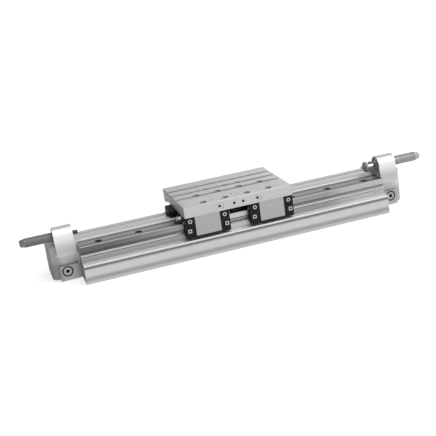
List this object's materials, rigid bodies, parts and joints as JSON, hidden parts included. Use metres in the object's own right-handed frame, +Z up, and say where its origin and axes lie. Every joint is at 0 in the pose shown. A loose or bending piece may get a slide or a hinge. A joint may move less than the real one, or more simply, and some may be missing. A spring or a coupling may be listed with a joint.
{
  "type": "rodless pneumatic cylinder",
  "caption": "Rodless pneumatic cylinder: a carriage plate on a profile rail is driven along a slotted barrel between end caps that carry shock absorbers.",
  "frame": {"origin": "middle of the box's base: centre of the length and of the depth, at the height of the underside", "axes": "+X along the stroke, +Y from the guide rail to the barrel and on to the rear, +Z up"},
  "size_m": [0.638, 0.123, 0.0815],
  "materials": {
    "anodised_profile": "satin anodised",
    "anodised_plate": "satin anodised",
    "cap_metal": "fine blasted and anodised",
    "rail_steel": "ground",
    "block_steel": "ground",
    "screw_steel": "zinc plated",
    "band_steel": "rolled",
    "dark_steel": "nitrided",
    "plug_steel": "zinc plated",
    "rod_chrome": "polished",
    "bumper_plastic": "satin",
    "black_plastic": "moulded",
    "wiper_rubber": "matt",
    "seal_plastic": "cast",
    "yoke_metal": "machined",
    "brass": "turned",
    "magnet": "sintered"
  },
  "bodies": {
    "base": {"rail_carrier": "anodised_profile", "guide_rail": "rail_steel", "rail_screws": "screw_steel", "barrel": "anodised_profile", "carrier_screws": "screw_steel", "carrier_nuts": "screw_steel", "cover_band": "band_steel", "sealing_band": "seal_plastic", "end_cap_left": "cap_metal", "end_cap_right": "cap_metal", "shock_bracket_left": "cap_metal", "shock_bracket_right": "cap_metal", "shock_body_left": "dark_steel", "shock_body_right": "dark_steel", "end_cap_screws": "screw_steel", "bracket_screws": "screw_steel", "lock_nuts": "dark_steel", "port_plugs": "plug_steel", "spigot_seals": "wiper_rubber", "cushion_tubes": "yoke_metal", "cushion_needles": "brass", "band_clamps": "yoke_metal"},
    "carriage": {"mounting_plate": "anodised_plate", "block_screws": "screw_steel", "screw_caps": "plug_steel", "driver": "yoke_metal", "driver_screws": "screw_steel", "yoke_screws": "screw_steel", "piston_yoke": "yoke_metal", "piston_left": "black_plastic", "piston_right": "black_plastic", "piston_magnets": "magnet", "piston_seals": "wiper_rubber", "wear_rings": "seal_plastic", "driver_cover_left": "black_plastic", "driver_cover_right": "black_plastic", "cover_screws": "screw_steel", "band_wipers": "wiper_rubber", "runner_block_left": "block_steel", "runner_block_right": "block_steel", "block_cap_outer_left": "black_plastic", "block_cap_outer_right": "black_plastic", "block_cap_inner_left": "black_plastic", "block_cap_inner_right": "black_plastic", "block_wipers": "wiper_rubber", "block_cap_screws": "screw_steel", "block_cap_plugs": "plug_steel", "bottom_seals": "wiper_rubber", "grease_nipples": "plug_steel"},
    "plunger_left": {"plunger_rod_left": "bumper_plastic"},
    "plunger_right": {"plunger_rod_right": "rod_chrome", "bumper_right": "bumper_plastic"}
  },
  "joints": [
    {"name": "carriage_slide", "type": "slide", "parent": "base", "child": "carriage", "axis": [1, 0, 0], "range_m": [-0.146, 0.138], "deforming": ["cover_band", "sealing_band"]},
    {"name": "plunger_left_slide", "type": "slide", "parent": "base", "child": "plunger_left", "axis": [-1, 0, 0], "range_m": [0, 0.008], "stiffness_N_per_m": 400, "springref_m": -0.01},
    {"name": "plunger_right_slide", "type": "slide", "parent": "base", "child": "plunger_right", "axis": [1, 0, 0], "range_m": [0, 0.012], "stiffness_N_per_m": 400, "springref_m": -0.01}
  ]
}
